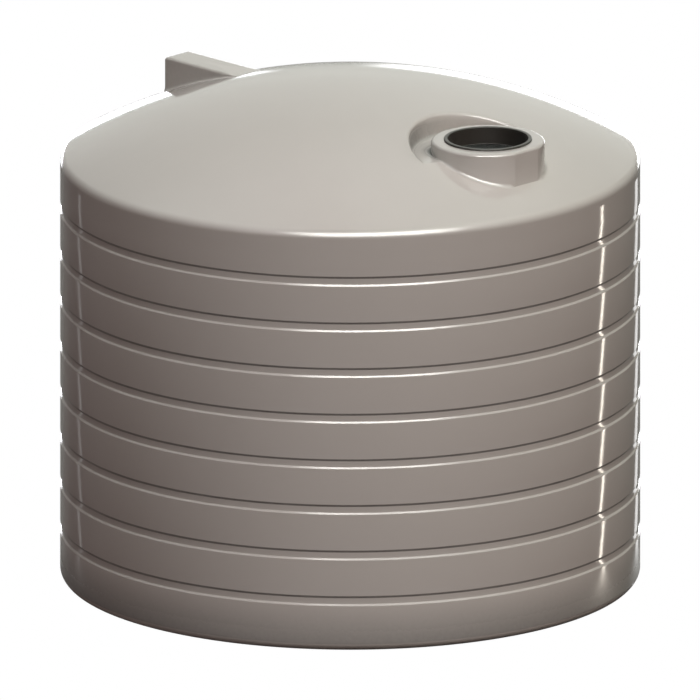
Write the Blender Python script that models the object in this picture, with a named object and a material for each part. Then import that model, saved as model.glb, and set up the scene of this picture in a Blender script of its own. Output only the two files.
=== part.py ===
"""A moulded rainwater tank: a grooved round shell, a domed roof, a strainer inlet and an overflow box.

Metres, +Z up. The origin is the centre of the base. The inlet lies towards +X and the
overflow box towards -X, so the XZ plane is the tank's plane of symmetry.
"""

import math

import bmesh
import bpy
import numpy as np

# Shell
OUTER_RADIUS = 1.475
SHELL = 0.008
HEEL_RADIUS = 0.049
SHOULDER_RADIUS = 0.057
GAP = 0.0003

# Grooves that run round the wall, from the lowest one up
GROOVES = 8
GROOVE_PITCH = 0.2409
GROOVE_START = 0.2415
GROOVE_HEIGHT = 0.0515
GROOVE_CHAMFER = 0.010
GROOVE_DEPTH = 0.0065

# Domed roof, part of a sphere
DOME_RADIUS = 3.011
DOME_CENTRE_Z = -0.419
CROWN_RADIUS = 0.500
INLET_PANEL_ANGLE = 60
OVERFLOW_PANEL_ANGLE = 60

# Inlet: a round boss with one flat side, in a pocket cut into the dome
INLET_OFFSET = 0.991
BOSS_RADIUS = 0.290
BOSS_FLAT = 0.278
BOSS_TOP_Z = 2.490
POCKET_RADIUS = 0.390
POCKET_DRAFT = 0.16
POCKET_RUNOUT = 0.994
THROAT_RADIUS = 0.2095

# Strainer that drops into the boss
RIM_OUTER = 0.224
RIM_INNER = 0.205
RIM_HEIGHT = 0.0095
RIM_BEVEL = 0.0035
SEAT_CLEARANCE = 0.0015
SEAT_DEPTH = 0.001
BASKET_OUTER = 0.2075
BASKET_INNER = 0.2045
BASKET_DEPTH = 0.090
MESH_THICKNESS = 0.003

# Overflow box
BOX_TOP_Z = 2.501
BOX_WIDTH = 0.170
BOX_INNER_X = -0.733
BOX_OUTER_X = -1.249
BOX_SIDE_START_X = -0.762
BOX_FACE_CLEARANCE = 0.002
BOX_FOOT_TUCK = 0.0005

# Facets
SEGMENTS = 12
FACETS = 48
ARC_STEPS = 4
DOME_STEPS = 6
CROWN_STEPS = 3
BOSS_FLAT_STEPS = 4
BOSS_FRONT_STEPS = 8
POCKET_STEPS = 20
STRAINER_STEPS = 32
BOX_STEPS = 5

WALL_INNER_RADIUS = OUTER_RADIUS - GROOVE_DEPTH - SHELL
SHOULDER_CENTRE_R = OUTER_RADIUS - SHOULDER_RADIUS
DOME_EDGE_ANGLE = math.asin(SHOULDER_CENTRE_R / (DOME_RADIUS - SHOULDER_RADIUS))
SHOULDER_CENTRE_Z = DOME_CENTRE_Z + (DOME_RADIUS - SHOULDER_RADIUS) * math.cos(DOME_EDGE_ANGLE)
SEAT_Z = BOSS_TOP_Z - SEAT_DEPTH
RIM_TOP_Z = BOSS_TOP_Z + RIM_HEIGHT


def clear_scene():
    """Remove whatever the scene holds."""
    for item in list(bpy.data.objects):
        bpy.data.objects.remove(item, do_unlink=True)


def linear(hex_colour):
    """Turn an sRGB hex colour into the linear RGBA that a shader reads."""
    channels = [int(hex_colour[i:i + 2], 16) / 255 for i in (0, 2, 4)]
    return [c / 12.92 if c <= 0.04045 else ((c + 0.055) / 1.055) ** 2.4 for c in channels] + [1.0]


def make_material(name, hex_colour, roughness, metallic=0.0):
    """A plain Principled finish."""
    material = bpy.data.materials.new(name)
    material.use_nodes = True
    shader = material.node_tree.nodes["Principled BSDF"]
    shader.inputs["Base Color"].default_value = linear(hex_colour)
    shader.inputs["Roughness"].default_value = roughness
    shader.inputs["Metallic"].default_value = metallic
    return material


def add_empty(name, location):
    """An empty that carries the pieces built about it."""
    empty = bpy.data.objects.new(name, None)
    empty.location = location
    bpy.context.scene.collection.objects.link(empty)
    return empty


def loft(name, rings, material, closed=False, parent=None):
    """Join a row of equal outlines into one solid, capped at both ends unless it closes on itself."""
    shape = bmesh.new()
    corners = [[shape.verts.new(point) for point in ring] for ring in rings]
    following = corners[1:] + corners[:1] if closed else corners[1:]
    for near, far in zip(corners, following):
        for j in range(len(near)):
            k = (j + 1) % len(near)
            shape.faces.new((near[j], near[k], far[k], far[j]))
    if not closed:
        shape.faces.new(corners[0])
        shape.faces.new(list(reversed(corners[-1])))
    bmesh.ops.remove_doubles(shape, verts=shape.verts, dist=1e-6)
    bmesh.ops.recalc_face_normals(shape, faces=shape.faces)
    mesh = bpy.data.meshes.new(name)
    shape.to_mesh(mesh)
    shape.free()
    mesh.materials.append(material)
    mesh.shade_smooth()
    mesh.set_sharp_from_angle(angle=math.radians(25))
    piece = bpy.data.objects.new(name, mesh)
    piece.parent = parent
    bpy.context.scene.collection.objects.link(piece)
    return piece


def turn_section(section, turns):
    """One copy of a (radius, height) section at each turn, an angle for each of its points."""
    radius, height = np.array(section).T
    turns = turns + np.zeros_like(radius)
    return np.stack([radius * np.cos(turns), radius * np.sin(turns), height + 0 * turns], axis=-1)


def turned(name, section, material, steps, parent=None):
    """Turn a closed section all the way round the Z axis."""
    turns = np.linspace(0, math.tau, steps, endpoint=False)[:, None]
    return loft(name, turn_section(section, turns), material, closed=True, parent=parent)


def swept_segment(name, section, start, end, material):
    """Turn a closed section between two angles in degrees, half a gap short of both radial planes."""
    steps = round((end - start) * FACETS / 360)
    turns = np.radians(np.linspace(start, end, steps + 1))[:, None]
    inset = np.zeros_like(turns)
    inset[0], inset[-1] = 1, -1
    half_gap = np.arcsin(GAP / 2 / np.array(section)[:, 0])
    return loft(name, turn_section(section, turns + inset * half_gap), material)


def upright_rings(*corners):
    """One outline for each plan point, from pairs of plan points (x, y) and heights."""
    sides = [np.column_stack([plan, height + np.zeros(len(plan))]) for plan, height in corners]
    return np.stack(sides, axis=1)


def arc(centre, radius, start, end, steps):
    """Points (radius, height) along an arc between two angles in radians, both ends included."""
    angles = np.linspace(start, end, steps + 1)
    return [(centre[0] + radius * math.cos(a), centre[1] + radius * math.sin(a)) for a in angles]


def dome_height(x, y):
    """Height of the dome's outer face over a point of the plan."""
    return DOME_CENTRE_Z + np.sqrt(DOME_RADIUS ** 2 - x ** 2 - y ** 2)


def groove_points(index):
    """Outer face of one groove: a chamfer in, a flat and a chamfer out, from below."""
    low = GROOVE_START + index * GROOVE_PITCH
    high = low + GROOVE_HEIGHT
    floor = OUTER_RADIUS - GROOVE_DEPTH
    return [(OUTER_RADIUS, low), (floor, low + GROOVE_CHAMFER),
            (floor, high - GROOVE_CHAMFER), (OUTER_RADIUS, high)]


def wall_section():
    """Heel, grooves and shoulder outside, a plain face inside."""
    heel = (OUTER_RADIUS - HEEL_RADIUS, HEEL_RADIUS)
    shoulder = (SHOULDER_CENTRE_R, SHOULDER_CENTRE_Z)
    top = math.pi / 2 - DOME_EDGE_ANGLE
    last_groove_top = GROOVE_START + (GROOVES - 1) * GROOVE_PITCH + GROOVE_HEIGHT
    outside = arc(heel, HEEL_RADIUS, -math.pi / 2, 0, ARC_STEPS)
    for index in range(GROOVES):
        outside += groove_points(index)
    outside += arc(shoulder, SHOULDER_RADIUS, 0, top, ARC_STEPS)
    inside = arc(shoulder, SHOULDER_RADIUS - SHELL, top, 0, ARC_STEPS - 1)
    inside += [(WALL_INNER_RADIUS, last_groove_top), (WALL_INNER_RADIUS, GROOVE_START)]
    inside += arc(heel, HEEL_RADIUS - SHELL, 0, -math.pi / 2, ARC_STEPS - 1)
    return outside + inside


def dome_section(inner_angle, outer_angle, steps):
    """A strip of the dome's shell between two angles from its pole."""
    centre = (0, DOME_CENTRE_Z)
    outer, inner = math.pi / 2 - outer_angle, math.pi / 2 - inner_angle
    outside = arc(centre, DOME_RADIUS, outer, inner, steps)
    return outside + arc(centre, DOME_RADIUS - SHELL, inner, outer, steps)


def cut_hole(piece, outline):
    """Cut an upright hole of a plan outline, given as points (x, y), through a roof panel."""
    plan = np.array(outline)
    levels = (dome_height(OUTER_RADIUS, 0) - 1, dome_height(0, 0) + 1)
    rings = [np.column_stack([plan, np.full(len(plan), level)]) for level in levels]
    cutter = loft(piece.name + "_cutter", rings, piece.data.materials[0])
    cutter.hide_render = True
    cutter.display_type = "WIRE"
    hole = piece.modifiers.new("hole", "BOOLEAN")
    hole.operation = "DIFFERENCE"
    hole.object = cutter


def build_shell(skin):
    """The wall in equal segments, heel and shoulder included, and the floor inside the heel."""
    section = wall_section()
    width = 360 / SEGMENTS
    for index in range(SEGMENTS):
        name = f"wall_segment_{index + 1:02d}"
        swept_segment(name, section, index * width, (index + 1) * width, skin)
    edge = OUTER_RADIUS - HEEL_RADIUS - GAP
    turned("floor_panel", [(0, 0), (edge, 0), (edge, SHELL), (0, SHELL)], skin, FACETS)


def build_roof(skin):
    """The crown, the plain panels round it, and the panels that hold the inlet and the overflow box."""
    crown_edge = math.asin(CROWN_RADIUS / DOME_RADIUS)
    gap = GAP / DOME_RADIUS
    turned("roof_crown", dome_section(0, crown_edge, CROWN_STEPS), skin, FACETS)
    strip = dome_section(crown_edge + gap, DOME_EDGE_ANGLE - gap, DOME_STEPS)
    inlet_half, overflow_half = INLET_PANEL_ANGLE / 2, OVERFLOW_PANEL_ANGLE / 2
    inlet_panel = swept_segment("roof_inlet_panel", strip, -inlet_half, inlet_half, skin)
    cut_hole(inlet_panel, inlet_hole_outline())
    ends = 180 - overflow_half, 180 + overflow_half
    overflow_panel = swept_segment("roof_overflow_panel", strip, *ends, skin)
    cut_hole(overflow_panel, overflow_hole_outline())
    width = 360 / SEGMENTS
    for side, first in (("left", inlet_half), ("right", ends[1])):
        for index in range(round((ends[0] - inlet_half) / width)):
            start = first + index * width
            swept_segment(f"roof_panel_{side}_{index + 1}", strip, start, start + width, skin)


def runout_angle(radius):
    """Angle about the inlet, from +X, at which a circle round it meets the pocket's runout line."""
    x = (POCKET_RUNOUT ** 2 + INLET_OFFSET ** 2 - radius ** 2) / (2 * INLET_OFFSET)
    return math.acos((x - INLET_OFFSET) / radius)


def polar(radius, angles):
    """Plan points (x, y) at a radius, or at one radius for each angle."""
    return np.column_stack([radius * np.cos(angles), radius * np.sin(angles)])


def boss_front_angles(inset=0.0):
    """Angles about the inlet from the end of the boss's flat side to the pocket's runout."""
    corner = math.acos((BOSS_FLAT - inset) / (BOSS_RADIUS - inset))
    return np.linspace(corner, runout_angle(BOSS_RADIUS), BOSS_FRONT_STEPS + 1)


def boss_outline(inset=0.0):
    """Plan points of the boss, anticlockwise from its flat side, drawn in by an inset."""
    front = boss_front_angles(inset)
    back = np.linspace(front[-1], math.tau - front[-1], POCKET_STEPS + 1)
    angles = np.concatenate([front, back[1:-1], math.tau - front[::-1]])
    flat = np.linspace(-front[0], front[0], BOSS_FLAT_STEPS + 1)[1:-1]
    return np.vstack([polar(BOSS_RADIUS - inset, angles), polar((BOSS_FLAT - inset) / np.cos(flat), flat)])


def pocket_angles():
    """Angles about the inlet of the pocket's wall, from one runout to the other."""
    runout = runout_angle(POCKET_RADIUS)
    return np.linspace(runout, math.tau - runout, POCKET_STEPS + 1)


def pocket_floor_z():
    """The pocket's floor is level with the dome at the runout line."""
    return dome_height(POCKET_RUNOUT, 0)


def pocket_top_radius(angle):
    """Radius of the pocket's wall where it meets the dome, wider than its foot by the draft."""
    foot = INLET_OFFSET + POCKET_RADIUS * np.cos(angle), POCKET_RADIUS * np.sin(angle)
    return POCKET_RADIUS + POCKET_DRAFT * np.maximum(dome_height(*foot) - pocket_floor_z(), 0)


def inlet_hole_outline():
    """Plan of the hole in the inlet panel: round the boss in front, round the pocket behind."""
    front = boss_front_angles(-GAP)
    front[-1] -= GAP / BOSS_RADIUS
    behind = pocket_angles()
    radius = pocket_top_radius(behind) + SHELL + GAP
    behind[0] -= GAP / POCKET_RADIUS
    behind[-1] += GAP / POCKET_RADIUS
    outline = np.vstack([
        polar(BOSS_RADIUS + GAP, -front[::-1]), [(BOSS_FLAT + GAP, 0)],
        polar(BOSS_RADIUS + GAP, front), polar(radius, behind)])
    return outline + (INLET_OFFSET, 0)


def overflow_hole_outline():
    """Plan of the hole in the overflow panel, just outside the box."""
    half = BOX_WIDTH / 2 + GAP
    inner, outer = BOX_INNER_X + GAP, BOX_OUTER_X - GAP
    return [(inner, -half), (inner, half), (outer, half), (outer, -half)]


def dome_over(plan):
    """Height of the dome over plan points given about the inlet."""
    return dome_height(plan[:, 0] + INLET_OFFSET, plan[:, 1])


def build_boss(skin, inlet):
    """The boss's upright wall, down through the roof, and its flat top ring round the strainer's seat."""
    outer, inner = boss_outline(), boss_outline(SHELL)
    wall_top = BOSS_TOP_Z - SHELL - GAP
    outer_foot = np.minimum(dome_over(outer), pocket_floor_z()) - SHELL
    inner_foot = np.minimum(dome_over(inner), pocket_floor_z()) - SHELL
    wall = upright_rings((outer, wall_top), (outer, outer_foot), (inner, inner_foot), (inner, wall_top))
    loft("inlet_boss_wall", wall, skin, closed=True, parent=inlet)
    turns = np.arctan2(outer[:, 1], outer[:, 0])
    throat, seat = polar(THROAT_RADIUS, turns), polar(RIM_OUTER + SEAT_CLEARANCE, turns)
    low = BOSS_TOP_Z - SHELL
    inside = (throat, low), (throat, SEAT_Z), (seat, SEAT_Z), (seat, BOSS_TOP_Z)
    top = upright_rings((outer, BOSS_TOP_Z), (outer, low), *inside)
    loft("inlet_boss_top", top, skin, closed=True, parent=inlet)


def build_pocket(skin, inlet):
    """The pocket's level floor and its drafted wall, which ends flush with the dome."""
    floor = pocket_floor_z()
    low = floor - SHELL
    near_runout = runout_angle(BOSS_RADIUS)
    near = polar(BOSS_RADIUS + GAP, np.linspace(near_runout, math.tau - near_runout, POCKET_STEPS + 1))
    far = polar(POCKET_RADIUS - GAP, pocket_angles())
    plate = upright_rings((near, floor), (far, floor), (far, low), (near, low))
    loft("inlet_pocket_floor", plate, skin, parent=inlet)
    turns = pocket_angles()
    lip_radius = pocket_top_radius(turns)
    foot, back_foot = polar(POCKET_RADIUS, turns), polar(POCKET_RADIUS + SHELL, turns)
    lip, back_lip = polar(lip_radius, turns), polar(lip_radius + SHELL, turns)
    lip_z = np.maximum(dome_over(lip), floor + GAP)
    outside = (back_lip, dome_over(back_lip)), (back_foot, low)
    wall = upright_rings((foot, low), (foot, floor), (lip, lip_z), *outside)
    loft("inlet_pocket_wall", wall, skin, parent=inlet)


def build_strainer(plastic, wire, inlet):
    """The strainer's rim on the boss, the basket wall that hangs in the throat and its mesh floor."""
    low, high = SEAT_Z + GAP, RIM_TOP_Z
    rim = [(RIM_INNER, low), (RIM_OUTER, low), (RIM_OUTER, high - RIM_BEVEL), (RIM_OUTER - RIM_BEVEL, high),
           (RIM_INNER + RIM_BEVEL, high), (RIM_INNER, high - RIM_BEVEL)]
    turned("strainer_rim", rim, plastic, STRAINER_STEPS, inlet)
    mesh_top = high - BASKET_DEPTH
    basket = [(BASKET_INNER, mesh_top + GAP), (BASKET_OUTER, mesh_top + GAP),
              (BASKET_OUTER, SEAT_Z), (BASKET_INNER, SEAT_Z)]
    turned("strainer_basket", basket, plastic, STRAINER_STEPS, inlet)
    floor = [(0, mesh_top - MESH_THICKNESS), (BASKET_OUTER, mesh_top - MESH_THICKNESS),
             (BASKET_OUTER, mesh_top), (0, mesh_top)]
    turned("strainer_mesh", floor, wire, STRAINER_STEPS, inlet)


def rectangle(start_x, end_x, half_width, z):
    """A level rectangle, centred on the plane of symmetry."""
    corners = (start_x, -half_width), (end_x, -half_width), (end_x, half_width), (start_x, half_width)
    return [(x, y, z) for x, y in corners]


def build_overflow_box(skin):
    """The box's top, its end face, tucked in below the dome, and two sides whose feet follow the dome."""
    half = BOX_WIDTH / 2
    under_top = BOX_TOP_Z - SHELL - GAP
    end_foot = dome_height(BOX_OUTER_X, half) - SHELL
    clear_of_dome = dome_height(BOX_OUTER_X, 0) + BOX_FACE_CLEARANCE
    top = [rectangle(BOX_OUTER_X, BOX_INNER_X, half, z) for z in (BOX_TOP_Z - SHELL, BOX_TOP_Z)]
    loft("overflow_box_top", top, skin)
    inner_face = BOX_OUTER_X + SHELL
    end = [rectangle(BOX_OUTER_X + BOX_FOOT_TUCK, inner_face, half, end_foot),
           rectangle(BOX_OUTER_X, inner_face, half, clear_of_dome),
           rectangle(BOX_OUTER_X, inner_face, half, under_top)]
    loft("overflow_box_end", end, skin)
    along = np.linspace(BOX_OUTER_X + SHELL + GAP, BOX_SIDE_START_X, BOX_STEPS + 1)
    foot = dome_height(along, half) - SHELL
    for side, turn in (("left", -1), ("right", 1)):
        outer = np.column_stack([along, np.full_like(along, turn * half)])
        inner = outer - (0, turn * SHELL)
        plate = upright_rings((outer, foot), (inner, foot), (inner, under_top), (outer, under_top))
        loft(f"overflow_box_{side}", plate, skin)


def build_tank():
    """Every piece of the tank."""
    clear_scene()
    wall_skin = make_material("moulded_wall", "B3AAA3", 0.32)
    roof_skin = make_material("moulded_roof", "B8B0A9", 0.32)
    inlet_skin = make_material("moulded_inlet", "B8B0A9", 0.30)
    box_skin = make_material("moulded_box", "B8B0A9", 0.34)
    black_plastic = make_material("black_plastic", "17181A", 0.38)
    mesh_wire = make_material("mesh_wire", "3A3C3D", 0.45, 0.8)
    build_shell(wall_skin)
    build_roof(roof_skin)
    inlet = add_empty("inlet_axis", (INLET_OFFSET, 0, 0))
    build_boss(inlet_skin, inlet)
    build_pocket(inlet_skin, inlet)
    build_strainer(black_plastic, mesh_wire, inlet)
    build_overflow_box(box_skin)


build_tank()
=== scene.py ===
"""The looks of a moulded rainwater tank, built round its construction model.

The tank stands on the origin, +Z up. Its strainer inlet lies towards +X and its overflow box
towards -X. Lengths are metres. Every skin is a closed grid of points, worked out with numpy as a
profile that changes from column to column.
"""

import logging
import math
from collections.abc import Sequence
from dataclasses import dataclass, field
from enum import Enum

import bpy
import numpy as np
from bpy.types import Collection, ID, Material, Node, NodeSocket, NodeTree, Object
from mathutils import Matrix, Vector

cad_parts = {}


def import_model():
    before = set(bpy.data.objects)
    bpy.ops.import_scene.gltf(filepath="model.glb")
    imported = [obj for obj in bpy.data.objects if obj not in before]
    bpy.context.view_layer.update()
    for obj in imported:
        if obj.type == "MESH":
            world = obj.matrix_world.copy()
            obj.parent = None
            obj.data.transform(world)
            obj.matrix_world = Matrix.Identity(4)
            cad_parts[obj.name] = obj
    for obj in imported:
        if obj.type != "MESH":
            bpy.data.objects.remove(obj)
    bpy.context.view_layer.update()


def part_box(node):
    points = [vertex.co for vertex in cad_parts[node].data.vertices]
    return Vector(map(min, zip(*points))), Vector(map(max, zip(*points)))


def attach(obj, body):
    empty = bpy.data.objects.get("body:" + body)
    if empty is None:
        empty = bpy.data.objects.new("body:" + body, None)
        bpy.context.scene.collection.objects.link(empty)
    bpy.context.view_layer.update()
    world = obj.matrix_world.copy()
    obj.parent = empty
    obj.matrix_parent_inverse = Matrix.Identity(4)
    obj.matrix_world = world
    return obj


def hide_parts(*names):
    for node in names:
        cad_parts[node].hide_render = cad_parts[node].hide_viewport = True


LOG = logging.getLogger("tank")
BODY = "root"
TURN = math.tau
# The point attribute of painted shade, which darkens the moulded plastic towards a grey.
PAINTED_SHADE = "painted_shade"
# Degrees round from -Y towards +X.
CAMERA_AZIMUTH = 45.0
NEARLY_ZERO = 1e-12
# The sockets of a mix of colours: the first colour, the second, and the result.
MIX_FIRST, MIX_SECOND, MIX_RESULT = 6, 7, 2


class Slot(Enum):
    """The record's material slots."""

    SHELL = "moulded_shell"
    PLASTIC = "black_plastic"
    WIRE = "mesh_wire"


def linear(hex_colour: str) -> tuple[float, float, float, float]:
    """Turns six sRGB hexadecimal digits into linear red, green and blue, and an alpha of one."""
    channels = [int(hex_colour[i:i + 2], 16) / 255 for i in (0, 2, 4)]
    return *(c / 12.92 if c <= 0.04045 else ((c + 0.055) / 1.055) ** 2.4 for c in channels), 1.0


def smooth_step(value: np.ndarray, low: float, high: float) -> np.ndarray:
    """Rises from 0 at low to 1 at high along the cubic 3t2 - 2t3, and is level outside them."""
    t = np.clip((value - low) / (high - low), 0.0, 1.0)
    return t * t * (3.0 - 2.0 * t)


def fillet(start: np.ndarray, corner: np.ndarray, end: np.ndarray, steps: int) -> list[np.ndarray]:
    """Rounds a corner with a conic that leaves start and reaches end along the corner's two sides.

    It is the rational quadratic curve with the corner as its middle control point, weighted by
    the cosine of half the turn, so sides of equal length give an arc of a circle.

    Args:
        start: Points (..., n) where the rounding starts, one for each column.
        corner: The corners.
        end: The points where it ends.
        steps: Stretches along the curve.

    Returns:
        steps + 1 arrays of points, start and end included.
    """
    before, after = corner - start, end - corner
    size = np.linalg.norm(before, axis=-1) * np.linalg.norm(after, axis=-1)
    cosine = np.sum(before * after, axis=-1) / np.maximum(size, NEARLY_ZERO)
    weight = np.cos(np.arccos(np.clip(cosine, -1.0, 1.0)) / 2)[..., None]
    rows = []
    for t in np.linspace(0.0, 1.0, steps + 1):
        a, b, c = (1 - t) ** 2, 2 * t * (1 - t) * weight, t * t
        rows.append((a * start + b * corner + c * end) / (a + b + c))
    return rows


def between(start: np.ndarray, end: np.ndarray, steps: int) -> list[np.ndarray]:
    """Arrays of points strictly between two arrays of points, in so many even steps."""
    return [start + (end - start) * i / steps for i in range(1, steps)]


def arc(centre: tuple[float, float], radius: float, start: float, end: float, steps: int) -> np.ndarray:
    """Section points along an arc between two angles, which are in radians above the horizontal."""
    angle = np.linspace(start, end, steps + 1)
    return np.column_stack([centre[0] + radius * np.cos(angle), centre[1] + radius * np.sin(angle)])


def revolve(section: np.ndarray, turns: np.ndarray, centre_x: float = 0.0) -> np.ndarray:
    """Turns a section about an upright axis: x = cx + r cos(t), y = r sin(t), z = height."""
    radius, height = section[:, :1], section[:, 1:]
    return np.stack([centre_x + radius * np.cos(turns), radius * np.sin(turns), height + 0 * turns], axis=-1)


def link_object(name: str, data: ID) -> Object:
    """Makes an object of a mesh, a light or a camera, and links it to the scene.

    Args:
        name: The object's name.
        data: What it shows.

    Returns:
        The object.
    """
    made = bpy.data.objects.new(name, data)
    bpy.context.scene.collection.objects.link(made)
    return made


def new_piece(name: str, points: np.ndarray, faces: list[list[int]]) -> Object:
    """Makes a smooth-shaded mesh object whose faces point outwards.

    A closed surface's volume is a sixth of the sum of the corner products of its triangles. Where
    that comes out negative the surface is inside out, and each face is turned round.

    Args:
        name: The piece's name.
        points: An array (n, 3).
        faces: Three or four point numbers for each face.

    Returns:
        The object.
    """
    first = np.array([face[:3] for face in faces])
    second = np.array([[face[0], face[2], face[3]] for face in faces if len(face) == 4])
    a, b, c = points[np.vstack([first, second])].transpose(1, 0, 2)
    if np.sum(a * np.cross(b, c)) < 0:
        faces = [face[::-1] for face in faces]
    mesh = bpy.data.meshes.new(name)
    mesh.from_pydata(points.tolist(), [], faces)
    mesh.shade_smooth()
    return link_object(name, mesh)


def closed_grid(name: str, grid: np.ndarray, ring: bool, sharp_rows: Sequence[int] = (),
                sharp_columns: Sequence[int] = (), painted_shade: np.ndarray | None = None) -> Object:
    """Makes one closed mesh from a grid whose columns come round to meet the first.

    Args:
        name: The piece's name.
        grid: Points (rows, columns, 3).
        ring: True if the rows come round too, and False if the first and last rows are poles.
        sharp_rows: Rows whose line is a crease.
        sharp_columns: Columns whose line is a crease.
        painted_shade: How much painted shade darkens each point (rows, columns), from 0 to 1.

    Returns:
        The object.
    """
    rows, columns = grid.shape[:2]
    ids = np.arange(rows * columns).reshape(rows, columns)
    kept = np.ones(ids.size, dtype=bool)
    if ring:
        near, far, caps = ids, np.roll(ids, -1, axis=0), []
    else:
        near, far, first, last = ids[1:-2], ids[2:-1], ids[1], ids[-2]
        caps = np.column_stack([np.full(columns, ids[0, 0]), first, np.roll(first, -1)]).tolist()
        caps += np.column_stack([last, np.full(columns, ids[-1, 0]), np.roll(last, -1)]).tolist()
        kept[1:columns] = kept[1 - columns:] = False
    quads = np.stack([near, far, np.roll(far, -1, axis=1), np.roll(near, -1, axis=1)], axis=-1)
    number = np.cumsum(kept) - 1
    faces = [[int(number[i]) for i in face] for face in quads.reshape(-1, 4).tolist() + caps]
    piece = new_piece(name, grid.reshape(-1, 3)[kept], faces)
    ends = np.zeros(len(piece.data.edges) * 2, dtype=np.int32)
    piece.data.edges.foreach_get("vertices", ends)
    crease = np.zeros(len(piece.data.edges), dtype=bool)
    places = np.divmod(np.flatnonzero(kept)[ends.reshape(-1, 2)], columns)
    for line, sharp in zip(places, (sharp_rows, sharp_columns)):
        crease |= (line[:, 0] == line[:, 1]) & np.isin(line[:, 0], list(sharp))
    piece.data.attributes.new("sharp_edge", "BOOLEAN", "EDGE").data.foreach_set("value", crease)
    # Painted shade is stored on the points, for the material to darken by.
    if painted_shade is not None:
        layer = piece.data.attributes.new(PAINTED_SHADE, "FLOAT", "POINT")
        layer.data.foreach_set("value", painted_shade.reshape(-1)[kept].astype(np.float32))
    return piece


def dress(piece: Object, material: Material, nodes: Sequence[str]) -> None:
    """Gives a piece its finish, hangs it on the body, and hides the model's nodes that it stands for.

    Args:
        piece: The piece.
        material: Its finish.
        nodes: The nodes that it replaces.
    """
    piece.data.materials.append(material)
    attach(piece, BODY)
    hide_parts(*nodes)
    LOG.info("%s: %d faces for %d nodes", piece.name, len(piece.data.polygons), len(nodes))


def set_node(tree: NodeTree, node: Node, settings: dict, links: dict) -> Node:
    """Gives a node its settings and what feeds it.

    Args:
        tree: The node tree.
        node: The node.
        settings: Values by the node's property names, or else by its inputs' names or numbers.
        links: Output sockets by the names or numbers of the inputs that they feed.

    Returns:
        The node.
    """
    for name, value in settings.items():
        if isinstance(name, str) and hasattr(node, name):
            setattr(node, name, value)
        else:
            node.inputs[name].default_value = value
    for name, socket in links.items():
        tree.links.new(socket, node.inputs[name])
    return node


def add_node(tree: NodeTree, kind: str, settings: dict | None = None, links: dict | None = None) -> Node:
    """Adds a node to a tree by Blender's name for its kind, with its settings and what feeds it."""
    return set_node(tree, tree.nodes.new(kind), settings or {}, links or {})


def new_material(name: str, *grains: tuple[float, float]) -> tuple[
        Material, NodeTree, Node, list[NodeSocket]]:
    """Starts a node material, with patterns of noise laid out in the object's own metres.

    Args:
        name: The material's name.
        grains: For each pattern its size in metres, and how many finer layers the noise has.

    Returns:
        The material, its tree, its Principled shader, and the patterns' values.
    """
    material = bpy.data.materials.new(name)
    material.use_nodes = True
    tree = material.node_tree
    place = add_node(tree, "ShaderNodeTexCoord").outputs["Object"]
    patterns = [add_node(tree, "ShaderNodeTexNoise", {"Scale": 1 / size, "Detail": detail},
                         {"Vector": place}).outputs["Fac"] for size, detail in grains]
    return material, tree, tree.nodes["Principled BSDF"], patterns


@dataclass(frozen=True)
class MouldedPolyethylene:
    """Rotationally moulded polyethylene: coloured through, with the gloss of a polished steel mould.

    The eye sees a clean, tight reflection over an even warm grey, with a cloudiness so faint that it
    only keeps the colour from looking painted, and a very low ripple that softens reflected edges.
    Painted shade darkens it towards a grey in the pocket, up the box's sides and under the grooves'
    upper edges, slightly uneven, and with a duller gloss where it lies.
    """

    name: str = "rotomoulded_polyethylene"
    colour: str = "D0CDCA"
    cloud_colour: str = "CDCAC7"
    cloud_size: float = 0.18
    painted_shade_colour: str = "5C5A58"
    painted_shade_size: float = 0.02
    painted_shade_unevenness: float = 0.15
    roughness: float = 0.08
    painted_shade_roughness: float = 0.55
    ior: float = 1.50
    ripple_size: float = 0.012
    ripple_height: float = 0.000012

    def build(self) -> Material:
        """Makes the material: two close greys mixed by soft noise, painted shade over them, a slight bump.

        Returns:
            The material.
        """
        material, tree, shader, (cloud, patches, ripple) = new_material(
            self.name, (self.cloud_size, 3.0), (self.painted_shade_size, 2.0), (self.ripple_size, 1.0))
        skin = add_node(tree, "ShaderNodeMix", {
            "data_type": "RGBA", MIX_FIRST: linear(self.colour), MIX_SECOND: linear(self.cloud_colour)},
            {"Factor": cloud})
        # Painted shade: the attribute darkens the colour towards a grey, unevenly by noise, and dulls the
        # gloss.
        painted_shade = add_node(tree, "ShaderNodeAttribute", {"attribute_name": PAINTED_SHADE})
        share = add_node(tree, "ShaderNodeMapRange", {
            "To Min": 1 - self.painted_shade_unevenness, "To Max": 1 + self.painted_shade_unevenness}, {"Value": patches})
        amount = add_node(tree, "ShaderNodeMath", {"operation": "MULTIPLY"}, {
            0: painted_shade.outputs["Fac"], 1: share.outputs["Result"]}).outputs[0]
        shaded_skin = add_node(tree, "ShaderNodeMix", {"data_type": "RGBA", MIX_SECOND: linear(self.painted_shade_colour)},
                          {"Factor": amount, MIX_FIRST: skin.outputs[MIX_RESULT]})
        gloss = add_node(tree, "ShaderNodeMapRange", {
            "To Min": self.roughness, "To Max": self.painted_shade_roughness}, {"Value": amount})
        bump = add_node(tree, "ShaderNodeBump", {"Distance": self.ripple_height}, {"Height": ripple})
        set_node(tree, shader, {"IOR": self.ior}, {
            "Base Color": shaded_skin.outputs[MIX_RESULT], "Roughness": gloss.outputs["Result"],
            "Normal": bump.outputs["Normal"]})
        return material


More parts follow.
